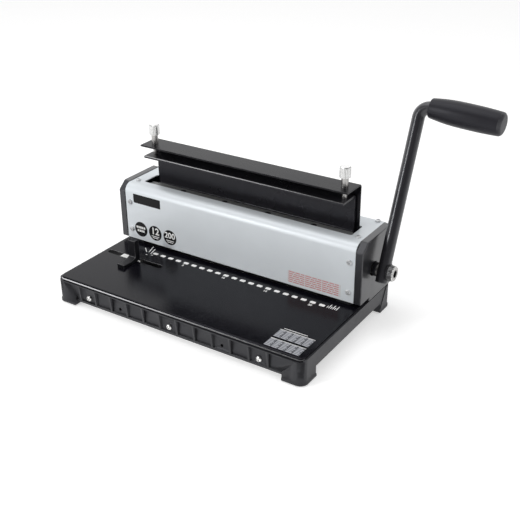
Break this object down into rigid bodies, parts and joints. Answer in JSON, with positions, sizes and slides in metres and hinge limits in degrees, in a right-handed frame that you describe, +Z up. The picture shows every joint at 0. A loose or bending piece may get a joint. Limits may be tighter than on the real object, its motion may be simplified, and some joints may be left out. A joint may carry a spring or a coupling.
{
  "type": "wire binding machine",
  "caption": "Desk wire binding machine whose side lever drives a row of square punches above its base plate and opens and closes the comb jaws on top.",
  "frame": {"origin": "on the table, under the middle of the base plate", "axes": "+Z up, +X to the lever's side, +Y to the rear"},
  "size_m": [0.4798, 0.2505, 0.2719],
  "materials": {
    "black_sheet": "satin",
    "black_moulding": "fine grain",
    "pad_rubber": "matte",
    "bright_steel": "nickel plated",
    "silver_paint": "satin",
    "black_caps": "satin",
    "frame_steel": "zinc plated",
    "tool_steel": "ground",
    "dark_steel": "blackened",
    "spring_steel": "drawn wire",
    "bronze": "sintered",
    "black_gloss": "gloss",
    "grip_rubber": "matte",
    "black_plastic": "semi-gloss",
    "white_plastic": "satin",
    "tray_plastic": "satin"
  },
  "bodies": {
    "base": {"base_moulding": "black_moulding", "base_plate": "black_sheet", "rubber_feet": "pad_rubber", "base_front_screws": "bright_steel", "bottom_pan": "frame_steel", "cover": "silver_paint", "cover_screws": "bright_steel", "left_end_cap": "black_caps", "right_end_cap": "black_caps", "left_side_frame": "dark_steel", "right_side_frame": "dark_steel", "rear_beam": "frame_steel", "frame_bolts": "bright_steel", "die_plate": "tool_steel", "punch_guide": "tool_steel", "guide_block_screws": "bright_steel", "back_stop": "frame_steel", "left_guide_post": "tool_steel", "right_guide_post": "tool_steel", "upper_jaw": "black_sheet", "upper_jaw_screws": "bright_steel", "left_bush": "bronze", "right_bush": "bronze"},
    "lever": {"lever_arm": "black_gloss", "lever_grip": "grip_rubber", "lever_spacer": "black_plastic", "lever_washer": "bright_steel", "lever_bolt": "bright_steel", "drive_shaft": "tool_steel", "shaft_collars": "dark_steel", "left_pinion": "tool_steel", "right_pinion": "tool_steel"},
    "ram": {"ram_bar": "dark_steel", "punch_retainer": "dark_steel", "punch_pins": "tool_steel", "left_rack": "tool_steel", "right_rack": "tool_steel", "lower_jaw": "black_sheet", "lower_jaw_screws": "dark_steel", "left_return_spring": "spring_steel", "right_return_spring": "spring_steel"},
    "left_stop": {"left_thumb_screw": "bright_steel"},
    "right_stop": {"right_thumb_screw": "bright_steel"},
    "guide": {"edge_guide": "black_plastic", "guide_slider": "white_plastic", "guide_clamp": "frame_steel", "guide_clamp_screw": "bright_steel"},
    "tray": {"chip_tray": "tray_plastic"}
  },
  "joints": [
    {"name": "lever_pivot", "type": "hinge", "parent": "base", "child": "lever", "pos_m": [0, 0.0525, 0.077], "axis": [1, 0, 0], "range_deg": [0, 85]},
    {"name": "ram_slide", "type": "slide", "parent": "base", "child": "ram", "axis": [0, 0, -1], "range_m": [0, 0.0156], "stiffness_N_per_m": 16400, "springref_m": -0.003, "deforming": ["left_return_spring", "right_return_spring"]},
    {"name": "left_stop_screw", "type": "slide", "parent": "base", "child": "left_stop", "axis": [0, 0, 1], "range_m": [0, 0.008]},
    {"name": "right_stop_screw", "type": "slide", "parent": "base", "child": "right_stop", "axis": [0, 0, 1], "range_m": [0, 0.008]},
    {"name": "guide_slide", "type": "slide", "parent": "base", "child": "guide", "axis": [1, 0, 0], "range_m": [-0.02, 0.033]},
    {"name": "tray_slide", "type": "slide", "parent": "base", "child": "tray", "axis": [0, 1, 0], "range_m": [0, 0.085]}
  ],
  "couplings": [
    {"joint": "ram_slide", "follows": "lever_pivot", "m_per_rad": 0.0105}
  ]
}
